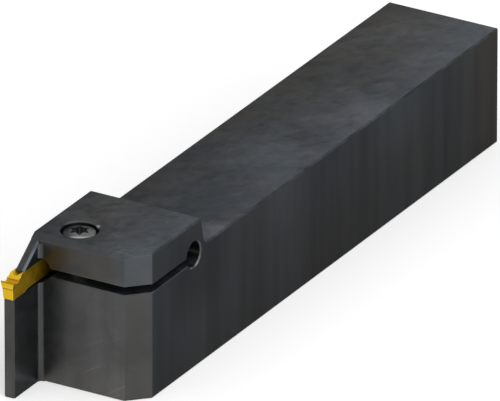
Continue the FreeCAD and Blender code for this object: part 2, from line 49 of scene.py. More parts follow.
# Camera, fitted to the photograph's corners; the clip distances are in metres
CAMERA_LENS = 1350.0
CAMERA_SENSOR_WIDTH = 36.0
CAMERA_AZIMUTH = 120.168
CAMERA_ELEVATION = 25.234
CAMERA_ROLL = 0.015
CAMERA_TARGET = Vector((74.712, -1.158, 14.263)) * MM
CAMERA_DISTANCE = 3676.8 * MM
CAMERA_CLIP_START = 0.1
CAMERA_CLIP_END = 20.0

# Light and floor, distances in metres
WORLD_DIFFUSE = 0.6
KEY_AZIMUTH = 150.0
KEY_ELEVATION = 40.0
KEY_DISTANCE = 1.0
KEY_SIZE = 1.2
KEY_POWER = 7.0
FLOOR_REACH = 6.0
FLOOR_COLOUR = (0.8, 0.8, 0.8, 1)
FLOOR_LIFT = 0.36
WHITE = (1, 1, 1, 1)

# Colours, linear
STEEL = (0.0770, 0.0780, 0.0785, 1)
STEEL_BLUE = (0.0700, 0.0798, 0.0895, 1)
STEEL_BROWN = (0.0800, 0.0775, 0.0740, 1)
STEEL_GROUND = (0.0775, 0.0785, 0.0755, 1)
STEEL_WARM = (0.0790, 0.0745, 0.0690, 1)
STEEL_VIOLET = (0.0770, 0.0750, 0.0880, 1)
# worn edges, lightened further as a painted highlight
STEEL_WORN_HIGHLIGHT = (0.13, 0.13, 0.135, 1)
GOLD = (0.70, 0.44, 0.017, 1)
GOLD_DEEP = (0.64, 0.40, 0.015, 1)
# painted shade for the insert's dark lines, and painted highlight for its edges and the brow above its step
GOLD_PAINTED_SHADE = (0.38, 0.20, 0.006, 1)
GOLD_HIGHLIGHT = (0.95, 0.77, 0.20, 1)
SCREW_DARK = (0.115, 0.12, 0.12, 1)
SCREW_LIGHT = (0.17, 0.175, 0.175, 1)
# painted highlight for the head's crescent, and painted light for the socket
SCREW_HIGHLIGHT = (0.37, 0.385, 0.385, 1)
SCREW_SOCKET_LIFT = (0.26, 0.27, 0.27, 1)

# Gloss: how much of its tint a metal keeps where it is seen at a slant, and its roughness
STEEL_EDGE_TINT = 0.4
STEEL_ROUGHNESS = (0.28, 0.39)
GOLD_EDGE_TINT = 1.0
GOLD_ROUGHNESS = (0.40, 0.50)
SCREW_EDGE_TINT = 0.4
SCREW_ROUGHNESS = (0.26, 0.36)

# Edges, found where the normal of a bevel differs from the face's own: its samples, and how far the two
# agree, as a cosine, on an edge and off it
BEVEL_SAMPLES = 6
EDGE_AGREEMENT = (0.75, 0.99)

# Steel's noises: degrees turned about Z, stretch, shift, scale, detail, roughness, distortion
EVEN = (1.0, 1.0, 1.0)
UNMOVED = (0.0, 0.0, 0.0)
STEEL_NOISES = {
    "broad": (0.0, EVEN, UNMOVED, 38.0, 3.0, 0.55, 0.6),
    "wisps": (35.0, (0.75, 1.0, 1.0), UNMOVED, 130.0, 4.0, 0.55, 1.0),
    "patches": (35.0, (0.85, 1.0, 1.0), (0.9, 0.3, 0.0), 300.0, 4.0, 0.6, 0.6),
    "flecks": (35.0, (0.8, 1.2, 1.0), (1.3, 0.6, 0.0), 700.0, 2.0, 0.5, 0.0),
    "strokes": (35.0, (0.4, 1.3, 1.0), (0.4, 2.6, 0.0), 480.0, 3.0, 0.6, 0.5),
    "hue": (0.0, EVEN, (3.1, 1.7, 0.4), 75.0, 4.0, 0.6, 0.4),
    "second_hue": (0.0, EVEN, (0.3, 5.2, 1.1), 110.0, 3.0, 0.5, 0.4),
    "painted_edge_patches": (0.0, EVEN, (2.2, 0.9, 0.5), 170.0, 3.0, 0.55, 0.0),
    "streaks": (0.0, (1.0, 1.0, 0.06), UNMOVED, 260.0, 4.0, 0.6, 0.0),
    "wide_streaks": (0.0, (1.0, 1.0, 0.12), (0.7, 0.2, 0.0), 60.0, 3.0, 0.5, 0.0),
    "grain": (0.0, EVEN, UNMOVED, 2600.0, 2.0, 0.6, 0.0),
    "waves": (0.0, EVEN, UNMOVED, 160.0, 2.0, 0.5, 0.0),
}
CLOUD_SHARES = (("broad", 0.35), ("wisps", 0.3), ("patches", 0.35))
STREAK_SHARES = (("streaks", 0.4), ("wide_streaks", 0.6))
FRONT_SHARES = (("streaks", 0.4), ("wisps", 0.6))
GRAIN_HEIGHT = 0.012
WAVE_HEIGHT = 0.02
BUMP_STRENGTH = 0.5

# Fine scratches on the front: tilt in degrees, stretch along them, what counts as one, and their level
SCRATCH_TILT = -32.0
SCRATCH_STRETCH = (1.0, 0.03, 1.0)
SCRATCH_NOISE = (1600.0, 2.0, 0.5)  # scale, detail, roughness
SCRATCH_RANGE = (0.66, 0.76)
SCRATCH_LEVEL = (1.0, 1.25)

# How far a face's normal leans along an axis: where it begins to count as facing that way, and where fully
UP_LEAN = (0.5, 0.9)
SIDE_LEAN = (0.75, 0.95)
AHEAD_LEAN = (0.6, 0.9)
RIGHT_LEAN = (-0.95, -0.75)  # fully at the first, no more at the second
SLOPE_LEAN = (0.35, 0.5)
CREST_LEAN = (0.2, 0.35)
ROUND_LEAN = (0.08, 0.25)
ROUND_LEAN_ALONG = (0.05, 0.25)  # fully at the first, no more at the second

# Places along the tool, from its rear end
REAR_SIDE_X = (2.0, 22.0)
REAR_TOP_X = (35.0, 70.0)
BLUE_TOP_X = (45.0, 75.0)
SHANK_X = (20.0, 100.0)
HEAD_SIDE_X = (108.0, 116.0)
HEAD_TOP_X = (112.0, 120.0)
HEAD_BLUE_X = (112.0, 118.0)
SLIT_LIP_X = (118.0, 121.0)
NOSE_X = (137.0, 138.0)
BLADE_X = (142.0, 150.0)

# Places across the tool, to the left of its middle
SIDE_TO_SIDE_Y = (-12.0, 12.0)
REAR_TOP_Y = (-12.0, 2.4)
LEFT_OF_BLADE_Y = (-9.0, -8.0)
JAW_CORNER_Y = (2.0, 7.0)
JAW_BLUE_Y = (4.0, 10.0)

# Heights
BLADE_FOOT_RISE = (-1.4, 1.6)  # height of the blade's foot at both ends of BLADE_X
BLADE_FOOT_Z = (2.0, 5.0)  # above that foot
FRONT_FOOT_Z = (2.0, 9.0)
SIDE_BLUE_Z = (6.0, 25.0)
SLIT_FLOOR_Z = (14.0, 15.0)
SLIT_ROOF_Z = (24.5, 24.9)
SLIT_LIP_Z = 22.7
SLIT_LIP_WIDTH = (0.1, 0.25)
JAW_Z = (23.5, 24.5)
CREST_Z = (28.0, 29.0)

# How light the steel is, by face: mostly painted light and shade, each face set lighter or darker as the
# light falls on it
TOP_REAR_LEVEL = 1.20
TOP_FRONT_LEVEL = 0.98
HEAD_TOP_LEVEL = 1.00
SLOPE_LEVEL = 0.74  # nose, from the head's top down to the insert; painted shade
# painted light that lifts the shade inside the slit
SLIT_LEVEL = 4.0
# painted shade on the sides, darker than the top
SIDE_LEVEL = 0.63
HEAD_SIDE_LEVEL = 0.67
RIGHT_SIDE_LEVEL = 1.0
# painted light in the recess on the blade's left side, fading to painted shade at its foot
BLADE_SIDE_LEVEL = 2.0
BLADE_FOOT_LEVEL = 0.70
FRONT_LEVEL = 0.90
CHAMFER_LEVEL = 0.96
ROUND_LEVEL = 0.62  # broken long edges, darkened with painted shade that hides their highlight
CREST_LEVEL = 0.60  # broken edge between the chamfer and the head's top, darkened with painted shade
LIP_HIGHLIGHT_LEVEL = 1.9  # lower edge of the slit, a painted highlight on the side
FRONT_LIP_SHADE_LEVEL = 0.85  # and slightly darkened with painted shade on the chamfer and the front
JAW_CORNER_LEVEL = 1.12

# How far each face's noise moves its level
CLOUD_RANGE = (0.39, 0.61)
CLOUD_LEVEL = (0.83, 1.17)
CHAMFER_CLOUD_LEVEL = (CHAMFER_LEVEL * 0.92, CHAMFER_LEVEL * 1.08)
HEAD_CLOUD_POWER = 1.5
FLECK_RANGE = (0.28, 0.40)
FLECK_LEVEL = (0.88, 1.0)
LIGHT_STROKE_RANGE = (0.58, 0.72)
LIGHT_STROKE_LEVEL = (1.0, 1.16)
DARK_STROKE_RANGE = (0.28, 0.40)
DARK_STROKE_LEVEL = (0.82, 1.0)
STREAK_RANGE = (0.38, 0.62)
STREAK_LEVEL = (0.87, 1.13)
FRONT_RANGE = (0.40, 0.60)
FRONT_NOISE_LEVEL = (FRONT_LEVEL * 0.88, FRONT_LEVEL * 1.12)
ROUND_RANGE = (0.36, 0.64)
ROUND_NOISE_LEVEL = (ROUND_LEVEL * 0.85, ROUND_LEVEL * 1.4)
LIP_RANGE = (0.40, 0.60)
LIP_SHARE = (0.3, 1.0)
# worn edges with a painted highlight: radius, what counts as one, and how strong
WORN_HIGHLIGHT_RADIUS = 0.4
WORN_HIGHLIGHT_RANGE = (0.45, 0.65)
WORN_HIGHLIGHT_SHARE = (0.0, 0.35)
GLOSS_RANGE = (0.3, 0.7)

# Painted light and shade that change along one axis: axis, where, level at the start and at the end
TOP_FADES = (("y", SIDE_TO_SIDE_Y, (0.80, 1.24)),)
SIDE_FADES = (
    ("z", (2.0, 24.0), (0.95, 1.05)),
    ("x", (3.0, 14.0), (1.12, 1.0)),
)
FRONT_FADES = (
    ("z", (23.0, 26.0), (1.0, 0.86)),
    ("z", (0.0, 9.0), (1.34, 1.0)),
    ("y", (-7.2, 7.2), (0.90, 1.10)),
    ("x", (147.0, 148.0), (1.0, 0.92)),
)
CHAMFER_FADES = (("z", (20.0, 27.0), (0.82, 1.19)),)

# Clouds on the top that are larger than the rest: place in X and Y, radius, level
CLOUD_PATCHES = (
    (13.0, -5.0, 8.0, 1.10),
    (34.0, -3.0, 16.0, 0.88),
    (47.0, 12.0, 8.0, 1.10),
    (62.0, 6.0, 8.0, 0.92),
    (74.0, 2.0, 11.0, 1.18),
    (91.0, 5.0, 12.0, 0.84),
    (104.0, 3.0, 11.0, 0.80),
    (109.0, 12.0, 5.0, 1.35),
    (121.0, 5.0, 9.0, 0.86),
    (129.0, -11.0, 10.0, 1.14),
    (136.0, 9.0, 8.0, 1.18),
)

# Clouds on the sides: place in X and Z, radius, level
SIDE_PATCHES = (
    (18.0, 14.0, 13.0, 0.93),
    (40.0, 24.0, 12.0, 1.16),
    (90.0, 27.0, 15.0, 1.10),
    (118.0, 22.0, 15.0, 0.76),
)

# Painted glint on the rim of the screw's counterbore: place in X and Y, radius, level
COUNTERBORE_GLINT = (130.35, -2.9, 0.75, 4.0)
PATCH_CORE = 0.3  # share of a patch's radius that has its full level
SEEN_FROM_ABOVE = (1, 1, 0)
SEEN_FROM_THE_SIDE = (1, 0, 1)

# Hues: what counts as one in the noise, and how strong it gets
BLUE_RANGE = (0.45, 0.66)
BLUE_CLOUD_SHARE = 0.5
BROWN_RANGE = (0.52, 0.34)
BROWN_CLOUD_SHARE = (0.7, 0.21)  # on the shank and on the head
VIOLET_RANGE = (0.50, 0.62)
VIOLET_SHARE = 0.6
TOP_BLUE_DELAY = 0.35  # the top's blue starts further left at the shank's rear
HEAD_BLUE_DELAY = 0.25
TOP_BLUE_RANGE = (0.1, 0.6)
TOP_BLUE_SHARE = 0.8
SIDE_BLUE_SHARE = (0.15, 0.50)
REAR_TOP_BROWN_SHARE = 0.6
REAR_SIDE_WARM_SHARE = 0.9
GROUND_SHARE = 0.8
JAW_BLUE_SHARE = 0.7
CHAMFER_WARM_SHARE = 0.4

# Insert: where its ends are, the heights of its lines of painted shade and painted highlight, and how far
# from them they are full and gone
INSERT_MIDDLE_X = 139.5
INSERT_HALF_LENGTH = 10.5
INSERT_END_LEAN = (0.5, 0.7)
INSERT_STEP_Z = 23.45
INSERT_STEP_WIDTH = (0.1, 0.28)
INSERT_BROW_Z = 23.78
INSERT_BROW_WIDTH = (0.04, 0.16)
INSERT_BROW_SHARE = 0.25
CHIP_STEP_FOOT_Z = 24.58
CHIP_STEP_FOOT_WIDTH = (0.10, 0.28)
CHIP_STEP_FROM_END = (1.8, 2.0)
CUTTING_EDGE_Z = 24.88
CUTTING_EDGE_WIDTH = (0.12, 0.24)
CUTTING_EDGE_FROM_END = (0.18, 0.3)
# painted highlight along the insert's edges
INSERT_HIGHLIGHT_RADIUS = 0.16
INSERT_HIGHLIGHT_SHARE = 0.9
INSERT_PATCH_NOISE = (700.0, 3.0, 0.6)  # scale, detail, roughness
INSERT_GRAIN_NOISE = (6000.0, 2.0, 0.6)
INSERT_GRAIN_HEIGHT = 0.006
INSERT_BUMP_STRENGTH = 0.4
BLOTCH_RANGE = (0.35, 0.65)

# Screw: directions seen from above, and how far out along them the painted shade and the painted highlight
# begin
SCREW_SHADE_DIRECTION = (0.5, -0.866)
SCREW_SHADE_REACH = (0.3, 2.2)
SCREW_SHADE_LEVEL = (1.0, 0.36)
SCREW_HIGHLIGHT_DIRECTION = (0.866, 0.5)
SCREW_HIGHLIGHT_REACH = (2.2, 2.8)
SCREW_SOCKET_RADIUS = (1.97, 2.0)
SCREW_HEAD_TOP_Z = (30.55, 30.65)
SCREW_RING_NOISE = (5200.0, 2.0, 0.6)  # scale, detail, roughness
SCREW_BLOTCH_NOISE = (500.0, 3.0, 0.6)
SCREW_RING_HEIGHT = 0.006
SCREW_BUMP_STRENGTH = 0.6


def in_metres(stretch):
    """Both ends of a stretch in millimetres, in metres."""
    return stretch[0] * MM, stretch[1] * MM


class Nodes:
    """Shorthand for building one node tree. A value is a number, a colour or another node's output."""

    def __init__(self, tree):
        self.tree = tree
        tree.nodes.clear()

    def add(self, kind, **values):
        """A node; underscored names are settings and the rest are input sockets."""
        node = self.tree.nodes.new(kind)
        for name, value in values.items():
            if name.startswith("_"):
                setattr(node, name[1:], value)
        for name, value in values.items():
            if not name.startswith("_"):
                self.feed(node.inputs[name.replace("__", " ")], value)
        return node

    def feed(self, socket, value):
        """Links an output socket, or writes a constant."""
        if isinstance(value, bpy.types.NodeSocket):
            self.tree.links.new(value, socket)
        else:
            socket.default_value = value

    def maths(self, operation, a, b=0.0):
        """One arithmetic step; one that takes a single value leaves b out."""
        node = self.add("ShaderNodeMath", _operation=operation)
        self.feed(node.inputs[0], a)
        self.feed(node.inputs[1], b)
        return node.outputs[0]

    def product(self, first, *others):
        """All values multiplied."""
        for other in others:
            first = self.maths("MULTIPLY", first, other)
        return first

    def distance(self, value, centre):
        """How far a value is from a number, either way."""
        return self.maths("ABSOLUTE", self.maths("SUBTRACT", value, centre))

    def ranged(self, value, source, target):
        """Value mapped from one range to another, held at both ends."""
        node = self.add("ShaderNodeMapRange")
        names = ("Value", "From Min", "From Max", "To Min", "To Max")
        for name, number in zip(names, (value, *source, *target)):
            self.feed(node.inputs[name], number)
        return node.outputs[0]

    def across(self, place, stretch, target):
        """A place in metres mapped from a stretch in millimetres to a range."""
        return self.ranged(place, in_metres(stretch), target)

    def noise(self, vector, scale, detail, roughness, distortion=0.0):
        """Noise texture's plain value, about 0.3 to 0.7."""
        node = self.add(
            "ShaderNodeTexNoise",
            Vector=vector, Scale=scale, Detail=detail, Roughness=roughness, Distortion=distortion,
        )
        return node.outputs["Fac"]

    def turned(self, vector, axis, degrees):
        """Coordinates turned about one axis."""
        node = self.add(
            "ShaderNodeVectorRotate",
            _rotation_type=axis + "_AXIS", Vector=vector, Angle=math.radians(degrees),
        )
        return node.outputs[0]

    def stretched(self, vector, scale, move=UNMOVED):
        """Coordinates scaled along each axis for streaks, and moved so that two noises differ."""
        node = self.add("ShaderNodeMapping", Vector=vector)
        node.inputs["Scale"].default_value = scale
        node.inputs["Location"].default_value = move
        return node.outputs[0]

    def separated(self, vector):
        """The three parts of a vector."""
        node = self.add("ShaderNodeSeparateXYZ", Vector=vector)
        return node.outputs["X"], node.outputs["Y"], node.outputs["Z"]

    def weighed(self, factor, a, b):
        """Mix of two plain numbers."""
        node = self.add("ShaderNodeMix", _data_type="FLOAT")
        self.feed(node.inputs[0], factor)
        self.feed(node.inputs[2], a)
        self.feed(node.inputs[3], b)
        return node.outputs[0]

    def mixed(self, factor, a, b, blend="MIX"):
        """Mix of two colours."""
        node = self.add("ShaderNodeMix", _data_type="RGBA", _blend_type=blend)
        self.feed(node.inputs[0], factor)
        self.feed(node.inputs[6], a)
        self.feed(node.inputs[7], b)
        return node.outputs[2]

    def shaded(self, colour, level):
        """Colour times a plain number."""
        grey = self.add("ShaderNodeCombineColor")
        for channel in range(3):
            self.feed(grey.inputs[channel], level)
        return self.mixed(1.0, colour, grey.outputs[0], "MULTIPLY")

    def bumped(self, height, millimetres, strength, under=None):
        """Normal from a height field, over another normal if one is given."""
        node = self.add("ShaderNodeBump", Strength=strength, Distance=millimetres * MM, Height=height)
        if under is not None:
            self.feed(node.inputs["Normal"], under)
        return node.outputs[0]


def direction(azimuth, elevation):
    """Unit vector from the object towards a place round it; azimuth 0 is -Y and 90 is +X."""
    a = math.radians(azimuth)
    e = math.radians(elevation)
    return Vector((math.sin(a) * math.cos(e), -math.cos(a) * math.cos(e), math.sin(e)))


def make_camera():
    """Long lens, nearly parallel view along the photograph's line of sight."""
    data = bpy.data.cameras.new("camera")
    data.type = "PERSP"
    data.sensor_width = CAMERA_SENSOR_WIDTH
    data.lens = CAMERA_LENS
    data.clip_start = CAMERA_CLIP_START
    data.clip_end = CAMERA_CLIP_END
    camera = bpy.data.objects.new("camera", data)
    bpy.context.scene.collection.objects.link(camera)
    back = direction(CAMERA_AZIMUTH, CAMERA_ELEVATION)
    turn = (-back).to_track_quat("-Z", "Y").to_matrix()
    roll = Matrix.Rotation(math.radians(CAMERA_ROLL), 3, "Z")
    place = Matrix.Translation(CAMERA_TARGET + back * CAMERA_DISTANCE)
    camera.matrix_world = place @ (turn @ roll).to_4x4()
    bpy.context.scene.camera = camera


def seen_directly(n):
    """1 for camera, glossy and transmission rays, so that metal shows the background too."""
    path = n.add("ShaderNodeLightPath")
    seen = n.maths("MAXIMUM", path.outputs["Is Camera Ray"], path.outputs["Is Glossy Ray"])
    return n.maths("MAXIMUM", seen, path.outputs["Is Transmission Ray"])


def make_world():
    """White all round; its diffuse light is lower, because the lamp adds the rest."""
    world = bpy.data.worlds.new("studio")
    world.use_nodes = True
    n = Nodes(world.node_tree)
    strength = n.ranged(seen_directly(n), OFF_TO_ON, (WORLD_DIFFUSE, 1.0))
    sky = n.add("ShaderNodeBackground", Color=WHITE, Strength=strength)
    n.add("ShaderNodeOutputWorld", Surface=sky.outputs[0])
    bpy.context.scene.world = world


def make_lamp(name, azimuth, elevation, distance, size, power):
    """Square soft lamp aimed at the middle of the tool."""
    data = bpy.data.lights.new(name, "AREA")
    data.shape = "SQUARE"
    data.size = size
    data.energy = power
    lamp = bpy.data.objects.new(name, data)
    bpy.context.scene.collection.objects.link(lamp)
    middle = (cad_low + cad_high) / 2
    back = direction(azimuth, elevation)
    lamp.location = middle + back * distance
    lamp.rotation_mode = "QUATERNION"
    lamp.rotation_quaternion = (-back).to_track_quat("-Z", "Y")


def new_material(name):
    """Empty node material and its nodes."""
    material = bpy.data.materials.new(name)
    material.use_nodes = True
    return material, Nodes(material.node_tree)


def make_floor():
    """Pale floor, lifted to white where it is seen, with the tool's shadow kept."""
    mesh = bpy.data.meshes.new("floor")
    r = FLOOR_REACH
    mesh.from_pydata([(-r, -r, 0), (r, -r, 0), (r, r, 0), (-r, r, 0)], [], [(0, 1, 2, 3)])
    floor = bpy.data.objects.new("floor", mesh)
    bpy.context.scene.collection.objects.link(floor)
    material, n = new_material("floor")
    plain = n.add("ShaderNodeBsdfDiffuse", Color=FLOOR_COLOUR)
    lift = n.product(seen_directly(n), FLOOR_LIFT)
    glow = n.add("ShaderNodeEmission", Color=WHITE, Strength=lift)
    both = n.add("ShaderNodeAddShader")
    n.feed(both.inputs[0], plain.outputs[0])
    n.feed(both.inputs[1], glow.outputs[0])
    n.add("ShaderNodeOutputMaterial", Surface=both.outputs[0])
    mesh.materials.append(material)


def edge_mask(n, radius):
    """1 along edges and 0 on open faces, from how far a rounded normal leans."""
    rounded = n.add("ShaderNodeBevel", _samples=BEVEL_SAMPLES, Radius=radius * MM)
    flat = n.add("ShaderNodeNewGeometry")
    both = n.add("ShaderNodeVectorMath", _operation="DOT_PRODUCT")
    n.feed(both.inputs[0], rounded.outputs[0])
    n.feed(both.inputs[1], flat.outputs["Normal"])
    return n.ranged(both.outputs["Value"], EDGE_AGREEMENT, ON_TO_OFF)


def metal_output(n, colour, edge_tint, roughness, normal):
    """Metal surface; edge_tint below 1 keeps dark steel dark where it is seen at a slant."""
    surface = n.add(
        "ShaderNodeBsdfPrincipled",
        Base__Color=colour, Metallic=1.0, Roughness=roughness, Normal=normal,
    )
    surface.inputs["Specular Tint"].default_value = (edge_tint, edge_tint, edge_tint, 1)
    n.add("ShaderNodeOutputMaterial", Surface=surface.outputs[0])


def patch(n, place, centre, radius, level, axes):
    """Level at one place that fades softly to 1 at its radius; axes leaves out the one it is seen along."""
    flat = n.add("ShaderNodeVectorMath", _operation="MULTIPLY", Vector=place)
    flat.inputs[1].default_value = axes
    distance = n.add("ShaderNodeVectorMath", _operation="DISTANCE")
    n.feed(distance.inputs[0], flat.outputs[0])
    distance.inputs[1].default_value = [part * MM for part in centre]
    return n.across(distance.outputs["Value"], (radius * PATCH_CORE, radius), (level, 1.0))


def line(n, height, centre, width, share=1.0):
    """Share of a thin line round one height: full out to the first width, and gone at the second."""
    return n.across(n.distance(height, centre * MM), width, (share, 0.0))


class Steel:
    """The holder's surface: where a point is, which way it faces, and the noises of its finish."""

    def __init__(self, n):
        coordinates = n.add("ShaderNodeTexCoord")
        self.place = coordinates.outputs["Object"]
        self.x, self.y, self.z = n.separated(self.place)
        self.along = {"x": self.x, "y": self.y, "z": self.z}
        self.facing = n.separated(coordinates.outputs["Normal"])
        self.lean = [n.maths("ABSOLUTE", part) for part in self.facing]
        self.ahead = n.ranged(self.lean[0], AHEAD_LEAN, OFF_TO_ON)
        self.side = n.ranged(self.lean[1], SIDE_LEAN, OFF_TO_ON)
        self.up = n.ranged(self.lean[2], UP_LEAN, OFF_TO_ON)
        self.leftward = n.across(self.y, SIDE_TO_SIDE_Y, OFF_TO_ON)
        self.left_of_blade = n.across(self.y, LEFT_OF_BLADE_Y, OFF_TO_ON)
        self.on_jaw = n.across(self.z, JAW_Z, OFF_TO_ON)
        self.noises = {}
        for name, (degrees, stretch, move, scale, detail, roughness, distortion) in STEEL_NOISES.items():
            vector = n.stretched(n.turned(self.place, "Z", degrees), stretch, move)
            self.noises[name] = n.noise(vector, scale, detail, roughness, distortion)
        self.clouds = self.shared(n, CLOUD_SHARES)

    def shared(self, n, shares):
        """Sum of some of the noises, each times its share."""
        total = 0.0
        for name, share in shares:
            total = n.maths("ADD", total, n.product(self.noises[name], share))
        return total

    def faded(self, n, level, fades):
        """Level times what a table of fades gives."""
        for axis, stretch, levels in fades:
            level = n.product(level, n.across(self.along[axis], stretch, levels))
        return level


def level_of_clouds(n, steel):
    """Soft clouds with small flecks, short strokes and the larger patches; stronger on the head."""
    level = n.product(
        n.ranged(steel.clouds, CLOUD_RANGE, CLOUD_LEVEL),
        n.ranged(steel.noises["flecks"], FLECK_RANGE, FLECK_LEVEL),
        n.ranged(steel.noises["strokes"], LIGHT_STROKE_RANGE, LIGHT_STROKE_LEVEL),
        n.ranged(steel.noises["strokes"], DARK_STROKE_RANGE, DARK_STROKE_LEVEL),
    )
    level = n.maths("POWER", level, n.across(steel.x, HEAD_TOP_X, (1.0, HEAD_CLOUD_POWER)))
    for x, y, radius, strength in CLOUD_PATCHES:
        level = n.product(level, patch(n, steel.place, (x, y, 0), radius, strength, SEEN_FROM_ABOVE))
    return level


def level_of_top(n, steel, clouds):
    """Faces that look up or down: shank, head, the nose's slope with painted shade and the inside of the
    slit with painted light that lifts its shade.

    The insert's seat lies at the slit's height too, and keeps the plain level.
    """
    shank = n.across(steel.x, SHANK_X, (TOP_REAR_LEVEL, TOP_FRONT_LEVEL))
    plain = n.across(steel.x, HEAD_TOP_X, (shank, HEAD_TOP_LEVEL))
    level = n.product(steel.faded(n, plain, TOP_FADES), clouds)
    # Painted light inside the slit, lifting its shade
    in_slit = n.product(
        n.across(steel.z, SLIT_ROOF_Z, ON_TO_OFF),
        n.across(steel.z, SLIT_FLOOR_Z, OFF_TO_ON),
        steel.left_of_blade,
    )
    level = n.weighed(in_slit, level, SLIT_LEVEL)
    # Painted shade on the nose's slope
    return n.product(level, n.ranged(steel.facing[0], SLOPE_LEAN, (1.0, SLOPE_LEVEL)))


def level_of_side(n, steel):
    """Faces that look sideways, with upright streaks, set darker than the top as painted shade; the blade's
    left side gets painted light in its recess, fading to painted shade towards its foot.
    """
    # Painted shade on the sides; painted light on the blade's left side that fades to painted shade at its
    # foot
    left = n.across(steel.x, HEAD_SIDE_X, (SIDE_LEVEL, HEAD_SIDE_LEVEL))
    foot_rise = n.across(steel.x, BLADE_X, in_metres(BLADE_FOOT_RISE))
    from_foot = n.maths("SUBTRACT", steel.z, foot_rise)
    blade = n.across(from_foot, BLADE_FOOT_Z, (BLADE_FOOT_LEVEL, BLADE_SIDE_LEVEL))
    rightward = n.ranged(steel.facing[1], RIGHT_LEAN, ON_TO_OFF)
    plain = n.weighed(rightward, n.weighed(steel.left_of_blade, blade, left), RIGHT_SIDE_LEVEL)
    streaks = n.ranged(steel.shared(n, STREAK_SHARES), STREAK_RANGE, STREAK_LEVEL)
    level = steel.faded(n, n.product(plain, streaks), SIDE_FADES)
    for x, z, radius, strength in SIDE_PATCHES:
        level = n.product(level, patch(n, steel.place, (x, 0, z), radius, strength, SEEN_FROM_THE_SIDE))
    return level


def level_of_front(n, steel):
    """Faces that look forward: the head's front, finely scratched, its jaw and the blade's front, with
    painted light and shade that fade across them.
    """
    tilted = n.turned(steel.place, "X", SCRATCH_TILT)
    scratches = n.noise(n.stretched(tilted, SCRATCH_STRETCH), *SCRATCH_NOISE)
    jaw_corner = n.product(steel.on_jaw, n.across(steel.y, JAW_CORNER_Y, OFF_TO_ON))
    level = n.product(
        n.ranged(steel.shared(n, FRONT_SHARES), FRONT_RANGE, FRONT_NOISE_LEVEL),
        n.ranged(scratches, SCRATCH_RANGE, SCRATCH_LEVEL),
        n.ranged(jaw_corner, OFF_TO_ON, (1.0, JAW_CORNER_LEVEL)),
    )
    # Painted light and shade: darker towards the top and at the blade's front, lighter towards the foot and
    # the left
    return steel.faded(n, level, FRONT_FADES)


def level_of_chamfer(n, steel):
    """Faces that look none of these ways: above all the chamfer down the head's corner."""
    level = n.ranged(steel.clouds, CLOUD_RANGE, CHAMFER_CLOUD_LEVEL)
    # Painted light and shade: lighter towards the top
    return steel.faded(n, level, CHAMFER_FADES)


def rounded_edges(n, steel):
    """1 on the broken edges between the top or underside and the sides, but not on the nose."""
    not_nose = n.maths("MAXIMUM", steel.left_of_blade, n.across(steel.x, NOSE_X, ON_TO_OFF))
    return n.product(
        n.ranged(steel.lean[2], ROUND_LEAN, OFF_TO_ON),
        n.ranged(steel.lean[1], ROUND_LEAN, OFF_TO_ON),
        n.ranged(steel.lean[0], ROUND_LEAN_ALONG, ON_TO_OFF),
        not_nose,
    )


def slit_lip(n, steel):
    """1 along the lower edge of the slit, in places less: where its painted highlight and painted shade go.
    """
    return n.product(
        line(n, steel.z, SLIT_LIP_Z, SLIT_LIP_WIDTH),
        n.maths("SUBTRACT", 1.0, steel.up),
        n.across(steel.x, SLIT_LIP_X, OFF_TO_ON),
        n.ranged(steel.noises["painted_edge_patches"], LIP_RANGE, LIP_SHARE),
    )


def level_of_steel(n, steel):
    """How light the holder is everywhere, mostly painted light and shade: its faces, then its edges over
    them, and a painted glint.
    """
    clouds = level_of_clouds(n, steel)
    level = n.weighed(steel.side, level_of_chamfer(n, steel), level_of_side(n, steel))
    level = n.weighed(steel.up, level, level_of_top(n, steel, clouds))
    level = n.weighed(steel.ahead, level, level_of_front(n, steel))

    # Patchy painted shade on the broken long edges, hiding their highlight
    painted_edge_and_wear = n.ranged(steel.noises["painted_edge_patches"], ROUND_RANGE, ROUND_NOISE_LEVEL)
    level = n.weighed(rounded_edges(n, steel), level, n.product(clouds, painted_edge_and_wear))
    # Painted highlight on the slit's lower edge at the side, painted shade on the chamfer and the front
    lip_level = n.weighed(steel.side, FRONT_LIP_SHADE_LEVEL, LIP_HIGHLIGHT_LEVEL)
    level = n.product(level, n.weighed(slit_lip(n, steel), 1.0, lip_level))
    # Painted shade on the edge between the chamfer and the head's top
    crest = [n.ranged(part, CREST_LEAN, OFF_TO_ON) for part in steel.facing]
    crest = n.product(*crest, n.across(steel.z, CREST_Z, OFF_TO_ON))
    level = n.weighed(crest, level, CREST_LEVEL)
    # A painted glint on the counterbore's rim
    x, y, radius, strength = COUNTERBORE_GLINT
    return n.product(level, patch(n, steel.place, (x, y, 0), radius, strength, SEEN_FROM_ABOVE))


def tint_of_ground_faces(n, steel):
    """Hue of the head's front and chamfer, above and below the slit."""
    jaw_front = n.mixed(n.across(steel.y, JAW_BLUE_Y, (0.0, JAW_BLUE_SHARE)), STEEL_WARM, STEEL_BLUE)
    jaw = n.mixed(steel.ahead, STEEL_BLUE, jaw_front)
    low_front = n.mixed(n.across(steel.z, FRONT_FOOT_Z, ON_TO_OFF), STEEL_GROUND, STEEL_BROWN)
    low_chamfer = n.mixed(CHAMFER_WARM_SHARE, STEEL_GROUND, STEEL_WARM)
    low = n.mixed(steel.ahead, low_chamfer, low_front)
    return n.mixed(steel.on_jaw, low, jaw)


